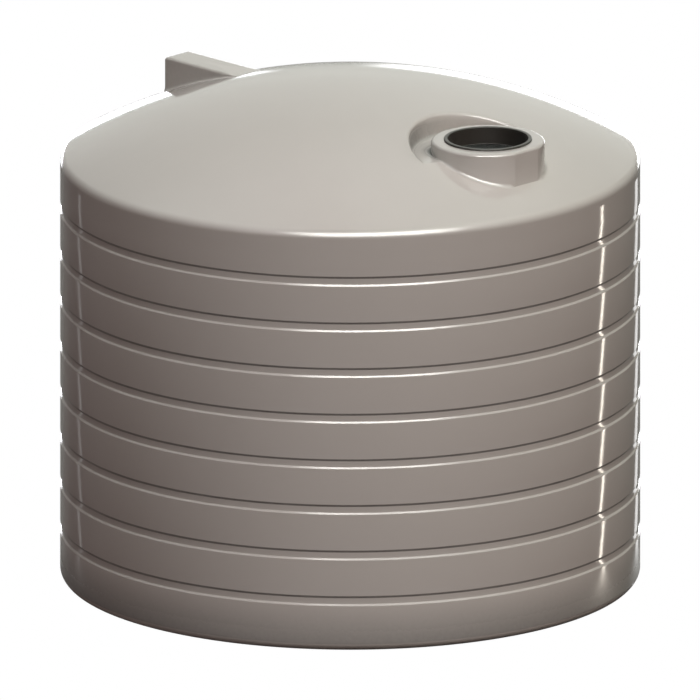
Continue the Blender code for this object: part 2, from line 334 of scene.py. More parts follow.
@dataclass(frozen=True)
class BlackPolypropylene:
    """Injection-moulded black polypropylene, lightly textured by a spark-eroded mould.

    The eye sees a near-black satin with a soft grey sheen along rounded edges. The grain of the
    real mould is finer than a tenth of a millimetre, and is drawn coarse enough to show close up.
    """

    name: str = "moulded_polypropylene"
    colour: str = "3E3B38"
    roughness: float = 0.34
    roughness_spread: float = 0.04
    specular_level: float = 0.22
    ior: float = 1.50
    grain_size: float = 0.0022
    grain_height: float = 0.00006

    def build(self) -> Material:
        """Makes the material: one dark colour, and the grain as a bump and as a change of gloss.

        Returns:
            The material.
        """
        material, tree, shader, (grain,) = new_material(self.name, (self.grain_size, 2.0))
        bump = add_node(tree, "ShaderNodeBump", {"Distance": self.grain_height}, {"Height": grain})
        gloss = add_node(tree, "ShaderNodeMapRange", {
            "To Min": self.roughness - self.roughness_spread,
            "To Max": self.roughness + self.roughness_spread}, {"Value": grain})
        set_node(tree, shader, {
            "Base Color": linear(self.colour), "Specular IOR Level": self.specular_level, "IOR": self.ior},
            {"Roughness": gloss.outputs["Result"], "Normal": bump.outputs["Normal"]})
        return material


@dataclass(frozen=True)
class WovenStainless:
    """Drawn stainless wire, woven and left as drawn, dulled by rain.

    The eye sees a dark grey metal whose sheen is broken by dull patches about a millimetre long.
    """

    name: str = "woven_stainless"
    colour: str = "4E4E4D"
    dull_colour: str = "3A3B3B"
    roughness: float = 0.42
    patch_size: float = 0.0012

    def build(self) -> Material:
        """Makes the material: two greys mixed by fine noise on a metal.

        Returns:
            The material.
        """
        material, tree, shader, (patches,) = new_material(self.name, (self.patch_size, 2.0))
        mix = add_node(tree, "ShaderNodeMix", {
            "data_type": "RGBA", MIX_FIRST: linear(self.colour), MIX_SECOND: linear(self.dull_colour)},
            {"Factor": patches})
        set_node(tree, shader, {"Metallic": 1.0, "Roughness": self.roughness},
                 {"Base Color": mix.outputs[MIX_RESULT]})
        return material


@dataclass
class TankForm:
    """The sizes that the tank's skins share, those of the frame among them.

    The dome is part of a sphere: height = centre + square root of (radius2 - x2 - y2). A rounded
    shoulder carries it into the upright wall.
    """

    shell: float = 0.008
    heel_radius: float = 0.049
    shoulder_radius: float = 0.057
    dome_radius: float = 3.011
    dome_centre_z: float = -0.419
    seam_z: float = 2.150
    columns: int = 384
    fine_steps: int = 40000
    radius: float = field(init=False)
    inlet_x: float = field(init=False)
    boss_radius: float = field(init=False)
    boss_flat: float = field(init=False)
    boss_top_z: float = field(init=False)
    turns: np.ndarray = field(init=False)
    bearings: np.ndarray = field(init=False)

    def __post_init__(self) -> None:
        """Reads the sizes that the frame gives and lays out the columns."""
        self.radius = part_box("wall_segment_01")[1].x
        low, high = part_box("inlet_boss_top")
        self.boss_radius = (high.y - low.y) / 2
        self.inlet_x = low.x + self.boss_radius
        self.boss_flat = high.x - self.inlet_x
        self.boss_top_z = high.z
        self.turns, self.bearings = self.lay_columns()

    @property
    def shoulder_r(self) -> float:
        """Distance of the shoulder's centre from the tank's axis."""
        return self.radius - self.shoulder_radius

    @property
    def dome_edge_angle(self) -> float:
        """Angle from the vertical at which the dome runs into the shoulder."""
        return math.asin(self.shoulder_r / (self.dome_radius - self.shoulder_radius))

    @property
    def shoulder_z(self) -> float:
        """Height of the shoulder's centre."""
        return self.dome_centre_z + (self.dome_radius - self.shoulder_radius) * math.cos(self.dome_edge_angle)

    @property
    def dome_edge_r(self) -> float:
        """Distance from the tank's axis at which the dome runs into the shoulder."""
        return self.dome_radius * math.sin(self.dome_edge_angle)

    @property
    def flat_bearing(self) -> float:
        """Bearing from the inlet's axis of the ends of the boss's flat side."""
        return math.acos(self.boss_flat / self.boss_radius)

    @property
    def off_flat(self) -> np.ndarray:
        """Each column's angle about the inlet's axis from the middle of the flat side, up to half a turn."""
        return np.abs((self.bearings + math.pi) % TURN - math.pi)

    def dome_height(self, x: np.ndarray, y: np.ndarray, depth: float = 0.0) -> np.ndarray:
        """Height of the dome, or of a face some depth inside it, over points of the plan."""
        return self.dome_centre_z + np.sqrt((self.dome_radius - depth) ** 2 - x ** 2 - y ** 2)

    def lay_columns(self) -> tuple[np.ndarray, np.ndarray]:
        """Lays out the columns that fan out from the inlet to the dome's edge.

        Each column meets the edge at a turn about the tank's axis, and leaves the inlet at a bearing
        about the inlet's axis. The mean of the two angles steps evenly, so that the columns are
        close together both round the boss and along the far wall. The two columns next to the ends
        of the boss's flat side are moved on to them.

        Returns:
            The turns and the bearings, both in radians.
        """
        fine = np.linspace(0.0, TURN, self.fine_steps + 1)
        edge_x, edge_y = self.dome_edge_r * np.cos(fine), self.dome_edge_r * np.sin(fine)
        bearing = np.unwrap(np.arctan2(edge_y, edge_x - self.inlet_x))
        mean = (fine + bearing) / 2
        even = np.arange(self.columns) * TURN / self.columns
        bearings = np.interp(even, mean, bearing)
        for corner in (self.flat_bearing, TURN - self.flat_bearing):
            bearings[np.argmin(np.abs(bearings - corner))] = corner
        return np.interp(bearings, bearing, fine), bearings


@dataclass
class MouldedBody:
    """The heel, the grooved wall and the floor, up to a seam hidden on the upright top band."""

    form: TankForm
    finish: Material
    wall_segments: int = 12
    grooves: int = 8
    groove_pitch: float = 0.2409
    groove_start: float = 0.2415
    groove_height: float = 0.0515
    groove_chamfer: float = 0.010
    groove_depth: float = 0.0065
    groove_rounding: float = 0.0022
    groove_steps: int = 3
    heel_steps: int = 12
    heel_margin: float = 0.01
    top_band_start: float = 0.08
    floor_radius: float = 1.0
    inner_rows: int = 6
    inner_margin: float = 0.3
    painted_shade_in_groove: float = 0.6
    painted_shade_reach: float = 0.6

    def groove(self, index: int) -> list[np.ndarray]:
        """One groove from below: a chamfer in, a flat and a chamfer out, with rounded corners.

        Args:
            index: The groove's place from the bottom, from 0.

        Returns:
            Section points, each an array of radius and height.
        """
        low = self.groove_start + index * self.groove_pitch
        high, chamfer = low + self.groove_height, self.groove_chamfer
        outer, inner = self.form.radius, self.form.radius - self.groove_depth
        line = np.array([(outer, low - chamfer), (outer, low), (inner, low + chamfer),
                         (inner, high - chamfer), (outer, high), (outer, high + chamfer)])
        points: list[np.ndarray] = []
        for before, corner, after in zip(line, line[1:], line[2:]):
            back, on = before - corner, after - corner
            start = corner + back * self.groove_rounding / np.linalg.norm(back)
            end = corner + on * self.groove_rounding / np.linalg.norm(on)
            points += fillet(start, corner, end, self.groove_steps)
        return points

    def section(self) -> tuple[np.ndarray, list[int]]:
        """The closed section, from the middle of the underside out, up, down inside and back.

        Returns:
            Points (rows, 2) of radius and height, and the rows that are creases.
        """
        form, heel = self.form, (self.form.radius - self.form.heel_radius, self.form.heel_radius)
        rim_r, inner_r = form.radius - form.shell, form.radius - self.groove_depth - form.shell
        last = self.groove_start + (self.grooves - 1) * self.groove_pitch + self.groove_height
        radii = (0.0, self.floor_radius / 2, self.floor_radius, heel[0] - self.heel_margin)
        outside = [np.array([(radius, 0.0) for radius in radii]),
                   arc(heel, form.heel_radius, -math.pi / 2, 0.0, self.heel_steps)]
        outside += [np.array(self.groove(index)) for index in range(self.grooves)]
        outside.append(np.array([(form.radius, last + self.top_band_start), (form.radius, form.seam_z)]))
        rim = sum(len(part) for part in outside)
        heights = np.linspace(last - self.inner_margin, self.inner_margin, self.inner_rows)
        inside = [np.array([(rim_r, form.seam_z), (inner_r, last)]),
                  np.column_stack([np.full(self.inner_rows, inner_r), heights]),
                  arc(heel, form.heel_radius - form.shell, 0.0, -math.pi / 2, self.heel_steps // 2),
                  np.array([(self.floor_radius, form.shell), (0.0, form.shell)])]
        return np.vstack(outside + inside), [rim - 1, rim]

    def painted_shade(self, section: np.ndarray) -> np.ndarray:
        """How much painted shade darkens each point: a line under every groove's upper edge, where shade
        falls.

        It lies on the outer face, up to painted_shade_reach times the chamfer from the middle of the chamfer.

        Args:
            section: Points (rows, 2) of radius and height.

        Returns:
            An array (rows, columns), 0 or the groove's share.
        """
        radius, height = section.T
        phase = (height - self.groove_start) % self.groove_pitch
        ledge = self.groove_height - self.groove_chamfer / 2
        outside = radius > self.form.radius - self.form.shell
        # Painted shade: a dark line under each groove's upper edge.
        sheltered = outside & (np.abs(phase - ledge) < self.painted_shade_reach * self.groove_chamfer)
        return self.painted_shade_in_groove * np.repeat(sheltered[:, None], self.form.columns, axis=1)

    def build(self) -> None:
        """Turns the section round the tank's axis and dresses it."""
        section, creases = self.section()
        piece = closed_grid("moulded_body", revolve(section, self.form.turns), False, creases,
                            painted_shade=self.painted_shade(section))
        nodes = [f"wall_segment_{index + 1:02d}" for index in range(self.wall_segments)]
        dress(piece, self.finish, [*nodes, "floor_panel"])


@dataclass
class MouldedRoof:
    """The shoulder, the dome, the inlet's pocket and its boss, as one skin.

    The skin is a fan of columns about the inlet's axis. Each is a path in an upright plane, given
    by distance from that axis and height: the throat, the boss's flat top and rounded edge, its wall
    and base, the pocket, and the dome out to its edge. From there the shoulder turns about the
    tank's own axis. The pocket's wall sinks to nothing where the dome falls to the pocket's floor,
    so the same rows carry round the front, where they lie along the dome.
    """

    form: TankForm
    finish: Material
    panels_each_side: int = 4
    throat_radius: float = 0.2095
    seat_radius: float = 0.2255
    seat_depth: float = 0.001
    top_fillet: float = 0.016
    base_fillet: float = 0.018
    bare_fillet: float = 0.0012
    pocket_fillet: float = 0.003
    fade_bearing: float = 6.0
    pocket_bearing: float = 90.0
    pocket_fade: float = 14.0
    pocket_radius: float = 0.390
    pocket_ledge: float = 0.002
    pocket_draft: float = 0.16
    pocket_runout: float = 0.994
    runout_softness: float = 0.0015
    foot_fillet: float = 0.022
    lip_fillet: float = 0.013
    front_lip: float = 0.010
    lip_fade_depth: float = 0.03
    painted_shade_reach: float = 0.022
    painted_shade_bearing: float = -143.0
    painted_shade_spread: tuple[float, float] = (22.0, 32.0)
    painted_shade_even: tuple[float, float] = (0.25, 0.22)
    painted_shade_most: tuple[float, float] = (1.6, 0.72)
    least_cosine: float = 0.1
    foot_most: float = 0.30
    lip_most: float = 0.50
    top_steps: int = 8
    wall_steps: int = 3
    base_steps: int = 6
    floor_steps: int = 12
    foot_steps: int = 5
    lip_steps: int = 8
    dome_steps: int = 26
    dome_spacing: float = 1.25
    shoulder_steps: int = 10
    under_shares: tuple[float, ...] = (0.85, 0.7, 0.5, 0.3, 0.15, 0.0)

    @property
    def pocket_floor_z(self) -> float:
        """Height of the pocket's floor, level with the dome at the runout."""
        return float(self.form.dome_height(np.array(self.pocket_runout), np.array(0.0)))

    def place(self, path: np.ndarray) -> np.ndarray:
        """Points of the columns' paths, whose distance is s: x = inlet + s cos(b), y = s sin(b)."""
        x = self.form.inlet_x + path[..., 0] * np.cos(self.form.bearings)
        return np.stack([x, path[..., 0] * np.sin(self.form.bearings), path[..., 1]], axis=-1)

    def dome_at(self, distance: np.ndarray, depth: float = 0.0) -> np.ndarray:
        """Path points on the dome at a distance from the inlet's axis in each column.

        Args:
            distance: One for each column, or one for all.
            depth: How far inside the dome's outer face.

        Returns:
            Distance and height (columns, 2).
        """
        distance = distance + np.zeros_like(self.form.bearings)
        x = self.form.inlet_x + distance * np.cos(self.form.bearings)
        height = self.form.dome_height(x, distance * np.sin(self.form.bearings), depth)
        return np.column_stack([distance, height])

    def floor_at(self, distance: np.ndarray) -> np.ndarray:
        """Path points on the pocket's floor, or on the dome where that lies lower.

        The lower of the two heights is taken, and where they differ by less than the softness the
        crease is rounded by the parabola (softness - difference)2 / (4 softness) below it.

        Args:
            distance: Distances from the inlet's axis, as for dome_at.

        Returns:
            Distance and height (columns, 2).
        """
        point = self.dome_at(distance)
        gap = np.abs(point[:, 1] - self.pocket_floor_z)
        rounding = np.maximum(self.runout_softness - gap, 0.0) ** 2 / (4 * self.runout_softness)
        point[:, 1] = np.minimum(point[:, 1], self.pocket_floor_z) - rounding
        return point

    def boss_distance(self, inset: float = 0.0) -> np.ndarray:
        """Distance of the boss's wall in each column, or of a face inside it: a circle with one flat side."""
        line = (self.form.boss_flat - inset) / np.maximum(np.cos(self.form.off_flat), self.least_cosine)
        return np.minimum(self.form.boss_radius - inset, line)

    def base_reach(self) -> np.ndarray:
        """How far the boss's base fillet reaches: full in front, small in the pocket, bare on the flat side.

        From the flat side's ends, and again from the pocket's sides, one size passes into the next
        by a smooth step of the angle.

        Returns:
            One distance for each column.
        """
        reach = self.bare_fillet
        for size, start, fade in (
                (self.base_fillet, self.form.flat_bearing, math.radians(self.fade_bearing)),
                (self.pocket_fillet, math.radians(self.pocket_bearing), math.radians(self.pocket_fade))):
            reach = reach + (size - reach) * smooth_step(self.form.off_flat, start, start + fade)
        return reach

    def boss_rows(self) -> list[np.ndarray]:
        """The throat, the strainer's seat, the boss's top, its rounded edge, its wall and its base.

        Returns:
            Rows of path points.
        """
        top = self.form.boss_top_z
        level = np.zeros_like(self.form.bearings)
        corners = [(self.throat_radius, top - self.form.shell), (self.throat_radius, top - self.seat_depth),
                   (self.seat_radius, top - self.seat_depth), (self.seat_radius, top)]
        rows = [np.column_stack([level + distance, level + height]) for distance, height in corners]
        edge = self.boss_distance()
        corner = np.column_stack([edge, level + top])
        start, end = corner - (self.top_fillet, 0.0), corner - (0.0, self.top_fillet)
        rows += between(rows[-1], start, 2) + fillet(start, corner, end, self.top_steps)
        foot, reach = self.floor_at(edge), self.base_reach()
        above = foot + np.column_stack([level, reach])
        beyond = self.floor_at(edge + reach)
        return rows + between(end, above, self.wall_steps) + fillet(above, foot, beyond, self.base_steps)

    def pocket_depth(self) -> np.ndarray:
        """Height of the pocket's wall in each column, nothing where the dome lies under its floor."""
        return np.maximum(self.dome_at(np.array(self.pocket_radius))[:, 1] - self.pocket_floor_z, 0.0)

    def pocket_rows(self, start: np.ndarray) -> list[np.ndarray]:
        """The pocket's floor from the boss's base, its foot, its drafted wall and its rounded lip.

        The wall leans out by its draft. Its foot's rounding takes at most foot_most of it, and its
        lip's at most lip_most.

        Args:
            start: The last row of the boss.

        Returns:
            Rows of path points.
        """
        depth = self.pocket_depth()
        foot = self.floor_at(np.array(self.pocket_radius))
        lip = self.dome_at(foot[:, 0] + self.pocket_ledge + self.pocket_draft * depth)
        wall = lip - foot
        length = np.linalg.norm(wall, axis=1)
        full = smooth_step(depth, 0.0, self.lip_fade_depth)
        lip_reach = self.front_lip + (self.lip_fillet - self.front_lip) * full
        foot_share = np.minimum(self.foot_fillet / length, self.foot_most)[:, None]
        lip_share = np.minimum(lip_reach / length, self.lip_most)[:, None]
        foot_start = self.floor_at(foot[:, 0] - self.foot_fillet)
        foot_end, lip_start = foot + wall * foot_share, lip - wall * lip_share
        lip_end = self.dome_at(lip[:, 0] + lip_reach)
        rows = [self.floor_at(row[:, 0]) for row in between(start, foot_start, self.floor_steps)]
        rows += fillet(foot_start, foot, foot_end, self.foot_steps)
        rows += between(foot_end, lip_start, self.wall_steps)
        return rows + fillet(lip_start, lip, lip_end, self.lip_steps)

    def painted_shade(self, rows: np.ndarray) -> np.ndarray:
        """How much painted shade darkens each point: in the pocket's corners and up its wall, none outside
        it.

        It is e^(-d / reach), d being the distance to the boss's base or to the foot of the wall, and
        the wall has its share right up to the lip. Both are thickest at one bearing, and thin to an
        even share away from it by e^(-(angle / spread)2). Both grow by a smooth step with the
        pocket's depth.

        Args:
            rows: Path points (rows, columns, 2).

        Returns:
            An array (rows, columns) from 0 to 1.
        """
        away, above = rows[..., 0], rows[..., 1] - self.pocket_floor_z
        at_boss = np.exp(-np.hypot(away - self.form.boss_radius, above) / self.painted_shade_reach)
        at_wall = np.exp(-np.hypot(away - self.pocket_radius, above) / self.painted_shade_reach)
        lip = self.pocket_radius + self.pocket_ledge + self.pocket_draft * self.pocket_depth()
        on_wall = smooth_step(away, self.pocket_radius - self.foot_fillet, self.pocket_radius)
        on_wall = on_wall * (1.0 - smooth_step(away, lip - self.lip_fillet / 2, lip))
        angle = (np.degrees(self.form.bearings) - self.painted_shade_bearing + 180.0) % 360.0 - 180.0
        shares = [even + (most - even) * np.exp(-(angle / spread) ** 2)
                  for even, most, spread in zip(self.painted_shade_even, self.painted_shade_most, self.painted_shade_spread)]
        depth = smooth_step(self.pocket_depth(), 0.0, self.lip_fade_depth)
        # Painted shade in the pocket's recess: darkest in the corners at the boss's base and at the wall's
        # foot.
        painted_shade = np.maximum(at_boss * shares[0], np.maximum(at_wall, on_wall) * shares[1])
        return depth * np.minimum(painted_shade, 1.0)

    def edge_distance(self, radius: float) -> np.ndarray:
        """Distance in each column from the inlet's axis to a circle about the tank's axis."""
        x, y = radius * np.cos(self.form.turns), radius * np.sin(self.form.turns)
        return np.hypot(x - self.form.inlet_x, y)

    def shoulder(self, inset: float, steps: int) -> np.ndarray:
        """The shoulder's arc from the dome to the upright, then down to the seam, as a section.

        Args:
            inset: How far inside the outer face.
            steps: Stretches along the arc.

        Returns:
            Points (steps + 2, 2) of radius and height.
        """
        form, start = self.form, math.pi / 2 - self.form.dome_edge_angle
        bend = arc((form.shoulder_r, form.shoulder_z), form.shoulder_radius - inset, start, 0.0, steps)
        return np.vstack([bend, [(form.radius - inset, form.seam_z)]])

    def underside(self, lip: np.ndarray) -> list[np.ndarray]:
        """The skin's inner face from the shoulder back to the throat, coarser than the outside.

        Args:
            lip: The row where the pocket's lip ends.

        Returns:
            Rows of path points.
        """
        form, shell = self.form, self.form.shell
        edge = self.edge_distance((form.dome_radius - shell) * math.sin(form.dome_edge_angle))
        near = lip[:, 0] + shell
        rows = [self.dome_at(near + (edge - near) * share, shell) for share in self.under_shares]
        wall = self.boss_distance(shell)
        level = np.zeros_like(wall)
        for distance in (level + self.pocket_radius + shell / 2, wall):
            rows.append(self.floor_at(distance) - (0.0, shell))
        return [*rows, np.column_stack([wall, level + form.boss_top_z - shell])]

    def build(self) -> None:
        """Joins the rows into one closed skin and dresses it.

        On the dome they lie at even shares of the way, raised to the power dome_spacing.
        """
        form = self.form
        rows = self.boss_rows()
        rows += self.pocket_rows(rows[-1])
        lip, edge = rows[-1], self.edge_distance(form.dome_edge_r)
        shares = np.linspace(0.0, 1.0, self.dome_steps + 1)[1:-1] ** self.dome_spacing
        rows += [self.dome_at(lip[:, 0] + (edge - lip[:, 0]) * share) for share in shares]
        outer = revolve(self.shoulder(0.0, self.shoulder_steps), form.turns)
        inner = revolve(self.shoulder(form.shell, self.shoulder_steps // 2)[::-1], form.turns)
        top, under = self.place(np.array(rows)), self.place(np.array(self.underside(lip)))
        grid = np.concatenate([top, outer, inner, under])
        rim = len(top) + len(outer)
        # The corners of the throat and the seat, the two of the rim at the seam, and the one inside the boss.
        creases = [0, 1, 2, 3, rim - 1, rim, len(grid) - 1]
        corners = [int(np.argmin(np.abs(form.bearings - corner)))
                   for corner in (form.flat_bearing, TURN - form.flat_bearing)]
        painted_shade = np.zeros(grid.shape[:2])
        painted_shade[:len(rows)] = self.painted_shade(np.array(rows))
        piece = closed_grid("moulded_roof", grid, True, creases, corners, painted_shade)
        panels = [f"roof_panel_{side}_{index + 1}" for side in ("left", "right")
                  for index in range(self.panels_each_side)]
        dress(piece, self.finish, [
            "roof_crown", *panels, "roof_inlet_panel", "roof_overflow_panel", "inlet_boss_wall",
            "inlet_boss_top", "inlet_pocket_floor", "inlet_pocket_wall"])


@dataclass
class OverflowBox:
    """The raised box opposite the inlet, whose level top runs out into the dome.

    Its plan is a rectangle with slightly rounded corners. The rows are that plan moved in or out:
    the top, a rounded edge, the wall, and a fillet on to the dome. The walls get lower along the
    box, and both roundings shrink with them: they take at most edge_most and base_most of a wall.
    """

    form: TankForm
    finish: Material
    corner_radius: float = 0.004
    least_radius: float = 0.0004
    edge_fillet: float = 0.014
    base_fillet: float = 0.013
    base_rise: float = 0.028
    buried_end: float = 0.05
    bury: float = 0.002
    flange_sink: float = 0.00015
    underside_depth: float = 0.005
    painted_shade_on_top: float = 0.08
    painted_shade_on_walls: float = 0.30
    painted_shade_fade_height: float = 0.03
    side_steps: int = 28
    end_steps: int = 6
    corner_steps: int = 5
    rounding_steps: int = 8
    wall_steps: int = 4
    edge_most: float = 0.5
    base_most: float = 0.4
    top_shares: tuple[float, ...] = (0.0, 0.4, 0.8)
    under_shares: tuple[float, ...] = (1.0, 0.7, 0.4, 0.15, 0.0)
    painted_shade_edge_rows: tuple[int, int] = (4, 11)
    painted_shade_foot_rows: tuple[int, int] = (18, 23)

    def plan(self, offset: float) -> np.ndarray:
        """The plan's edge moved out by an offset, anticlockwise: straight sides and round corners.

        Args:
            offset: How far out, or in where it is negative.

        Returns:
            Points (columns, 2).
        """
        low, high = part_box("overflow_box_top")
        radius = max(self.corner_radius + offset, self.least_radius)
        inset = offset - radius
        start, end, half = low.x - inset, high.x + self.buried_end + inset, high.y + inset
        centres = np.array([(end, half), (start, half), (start, -half), (end, -half)])
        points = []
        for index, centre in enumerate(centres):
            angles = np.linspace(index, index + 1, self.corner_steps + 1) * math.pi / 2
            outward = np.column_stack([np.cos(angles), np.sin(angles)])
            bend = centre + radius * outward
            onward = centres[(index + 1) % 4] + radius * outward[-1]
            steps = self.side_steps if index % 2 == 0 else self.end_steps
            points += [bend, np.array(between(bend[-1], onward, steps))]
        return np.vstack(points)

    def under(self, plan: np.ndarray) -> np.ndarray:
        """Points inside the roof's skin, under points of the plan."""
        return np.column_stack([plan, self.form.dome_height(*plan.T) - self.underside_depth])

    def painted_shade(self, height: np.ndarray, rows: int) -> np.ndarray:
        """Painted shade at each point: a little on top, more on the walls, none at the foot's edge.

        It changes over some rows of the rounded edge and of the fillet at the foot.

        Args:
            height: The walls' height in each column.
            rows: Rows of the grid.

        Returns:
            An array (rows, columns) from 0 to 1.
        """
        row = np.arange(rows)[:, None]
        down, out = (smooth_step(row, *span) for span in (self.painted_shade_edge_rows, self.painted_shade_foot_rows))
        # Painted shade: the box's walls are darker than its top.
        share = (self.painted_shade_on_top + (self.painted_shade_on_walls - self.painted_shade_on_top) * down) * (1.0 - out)
        return share * smooth_step(height, 0.0, self.painted_shade_fade_height)

    def build(self) -> None:
        """Makes the box's skin as one closed grid and dresses it."""
        edge, flange = self.plan(0.0), self.plan(self.base_fillet)
        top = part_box("overflow_box_top")[1].z
        base_z = np.minimum(self.form.dome_height(*edge.T), top - self.bury)
        height = top - base_z
        edge_drop = np.minimum(self.edge_fillet, self.edge_most * height)
        base_rise = np.minimum(self.base_rise, self.base_most * height)
        flange_z = np.minimum(self.form.dome_height(*flange.T) - self.flange_sink, base_z)
        level = np.full(len(edge), top)
        inner, corner, wall_top, wall_foot, foot, end = (np.column_stack(part) for part in (
            [self.plan(-self.edge_fillet), level], [edge, level], [edge, top - edge_drop],
            [edge, base_z + base_rise], [edge, base_z], [flange, flange_z]))
        centre = edge.mean(axis=0)
        pole = np.array([*centre, top])
        rows = [pole + (inner - pole) * share for share in self.top_shares]
        rows += fillet(inner, corner, wall_top, self.rounding_steps)
        rows += between(wall_top, wall_foot, self.wall_steps)
        rows += fillet(wall_foot, foot, end, self.rounding_steps)
        rows += [self.under(centre + (flange - centre) * share) for share in self.under_shares]
        piece = closed_grid("overflow_box", np.array(rows), False, painted_shade=self.painted_shade(height, len(rows)))
        nodes = [f"overflow_box_{part}" for part in ("top", "end", "left", "right")]
        dress(piece, self.finish, nodes)


@dataclass
class Strainer:
    """The black leaf strainer: its rim on the boss, its basket and its woven floor."""

    form: TankForm
    plastic: Material
    wire: Material
    columns: int = 192
    rim_rounding: float = 0.0036
    rim_steps: int = 6
    rim_lap: float = 0.0025
    basket_wall: float = 0.003
    foot_lip: float = 0.002
    foot_face: float = 0.001
    wire_pitch: float = 0.005
    wire_radius: float = 0.0007
    wire_sides: int = 4
    edge_band: float = 0.006

    def ring(self, node: str) -> tuple[float, float, float]:
        """A node's outer radius and its lowest and highest heights."""
        low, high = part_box(node)
        return (high.y - low.y) / 2, low.z, high.z

    def build_ring(self, name: str, section: np.ndarray, creases: Sequence[int]) -> Object:
        """Turns a section about the inlet's axis into a closed ring, with creases along some rows."""
        turns = np.arange(self.columns) * TURN / self.columns
        return closed_grid(name, revolve(section, turns, self.form.inlet_x), True, creases)

    def build_rim(self) -> None:
        """The rim: a flat ring with rounded upper edges, whose inner edge laps over the basket's."""
        outer, low, high = self.ring("strainer_rim")
        inner = self.ring("strainer_basket")[0] - self.rim_lap
        size = self.rim_rounding
        paths = ([(outer, high - size), (outer, high), (outer - size, high)],
                 [(inner + size, high), (inner, high), (inner, high - size)])
        section = [(inner, low), (outer, low)]
        for start, corner, end in np.array(paths):
            section += fillet(start, corner, end, self.rim_steps)
        piece = self.build_ring("strainer_rim_ring", np.vstack(section), [0, 1])
        dress(piece, self.plastic, ["strainer_rim"])

    def build_basket(self) -> None:
        """The basket's upright wall, with a small lip at its foot that holds the woven floor."""
        outer, low, high = self.ring("strainer_basket")
        inner = outer - self.basket_wall
        lip = inner - self.foot_lip
        section = np.array([(inner, low + self.basket_wall), (lip, low + self.foot_face), (lip, low),
                            (outer, low), (outer, high), (inner, high)])
        piece = self.build_ring("strainer_basket_wall", section, range(len(section)))
        dress(piece, self.plastic, ["strainer_basket"])

    def build_mesh(self) -> None:
        """The woven floor: two sets of wires that pass over and under each other.

        Wires lie at whole pitches both ways. At crossing (i, k) one wire is raised and the other
        lowered by the sign of (-1)^(i + k). Each wire has four sides. The real weave is about 1 mm,
        and it is drawn five times as coarse, with about the same share of open space, so that it shows.
        """
        radius, low, high = self.ring("strainer_mesh")
        middle, lift = (low + high) / 2, (high - low) / 2 - self.wire_radius
        count = int((radius - self.edge_band / 2) / self.wire_pitch)
        step = np.arange(-count, count + 1)
        along, across = np.meshgrid(step, step, indexing="ij")
        inside = np.hypot(along, across) * self.wire_pitch < radius - self.edge_band / 2
        sign = np.where((along + across) % 2 == 0, lift, -lift)
        angles = np.arange(self.wire_sides) * TURN / self.wire_sides + TURN / 8
        points, faces = [], []
        for swap, height in ((False, sign), (True, -sign)):
            side, rise = self.wire_radius * np.cos(angles), self.wire_radius * np.sin(angles)
            run = along[..., None] * self.wire_pitch + 0 * side
            offset = across[..., None] * self.wire_pitch + side
            place = (offset, run) if swap else (run, offset)
            ring = np.stack([*place, middle + height[..., None] + rise], axis=-1)
            mask = inside.T if swap else inside
            start = sum(len(part) for part in points)
            points.append(ring.reshape(-1, 3))
            faces.append(self.wire_faces(mask) + start)
        self.weave(np.vstack(points), np.vstack(faces))

    def wire_faces(self, mask: np.ndarray) -> np.ndarray:
        """Faces of one set of wires: four sides between neighbouring crossings, and a cap at each end.

        Args:
            mask: Which crossings (along, across) are inside the floor.

        Returns:
            Four point numbers for each face.
        """
        sides = self.wire_sides
        first = np.arange(mask.size).reshape(mask.shape) * sides
        joined = mask[:-1] & mask[1:]
        near, far = first[:-1][joined], first[1:][joined]
        walls = [np.column_stack([near + i, near + (i + 1) % sides, far + (i + 1) % sides, far + i])
                 for i in range(sides)]
        before = np.vstack([np.zeros_like(mask[:1]), mask[:-1]])
        after = np.vstack([mask[1:], np.zeros_like(mask[:1])])
        starts, ends = first[mask & ~before & after], first[mask & ~after & before]
        caps = [starts[:, None] + np.arange(sides)[::-1], ends[:, None] + np.arange(sides)]
        return np.vstack(walls + caps)

    def weave(self, points: np.ndarray, faces: np.ndarray) -> None:
        """Makes the woven floor, leaving out the points that no face uses.

        Args:
            points: Points (n, 3) about the inlet's axis.
            faces: Four point numbers for each face.
        """
        used, numbers = np.unique(faces, return_inverse=True)
        centre = np.array([self.form.inlet_x, 0.0, 0.0])
        piece = new_piece("strainer_weave", points[used] + centre, numbers.reshape(-1, 4).tolist())
        dress(piece, self.wire, ["strainer_mesh"])


def bearing_vector(azimuth: float, elevation: float) -> Vector:
    """Unit vector at an azimuth, 0 towards -Y and 90 towards +X, and an elevation, both in degrees."""
    a, e = math.radians(azimuth), math.radians(elevation)
    return Vector((math.sin(a) * math.cos(e), -math.cos(a) * math.cos(e), math.sin(e)))


def stand_off(name: str, data: ID, target: Vector, back: Vector, distance: float) -> Object:
    """Stands a camera or a light away from a target, and turns it to face the target.

    Args:
        name: The object's name.
        data: The camera or the light.
        target: The point that it faces.
        back: Unit vector from the target towards it.
        distance: How far from the target it stands.

    Returns:
        The object.
    """
    stand = link_object(name, data)
    stand.location = target + back * distance
    stand.rotation_euler = back.to_track_quat("Z", "Y").to_euler()
    return stand


def light_left(tree: NodeTree, offset: NodeSocket, outer: float, inner: float) -> NodeSocket:
    """How much of a light is left at an offset from its middle, along the smooth step 3t2 - 2t3.

    Args:
        tree: The light's or the world's node tree.
        offset: The offset, to either side.
        outer: The offset at which nothing is left.
        inner: The offset up to which all is left.

    Returns:
        The share that is left.
    """
    distance = add_node(tree, "ShaderNodeMath", {"operation": "ABSOLUTE"}, {0: offset})
    return add_node(tree, "ShaderNodeMapRange", {
        "interpolation_type": "SMOOTHSTEP", "From Min": outer, "From Max": inner},
        {"Value": distance.outputs[0]}).outputs["Result"]


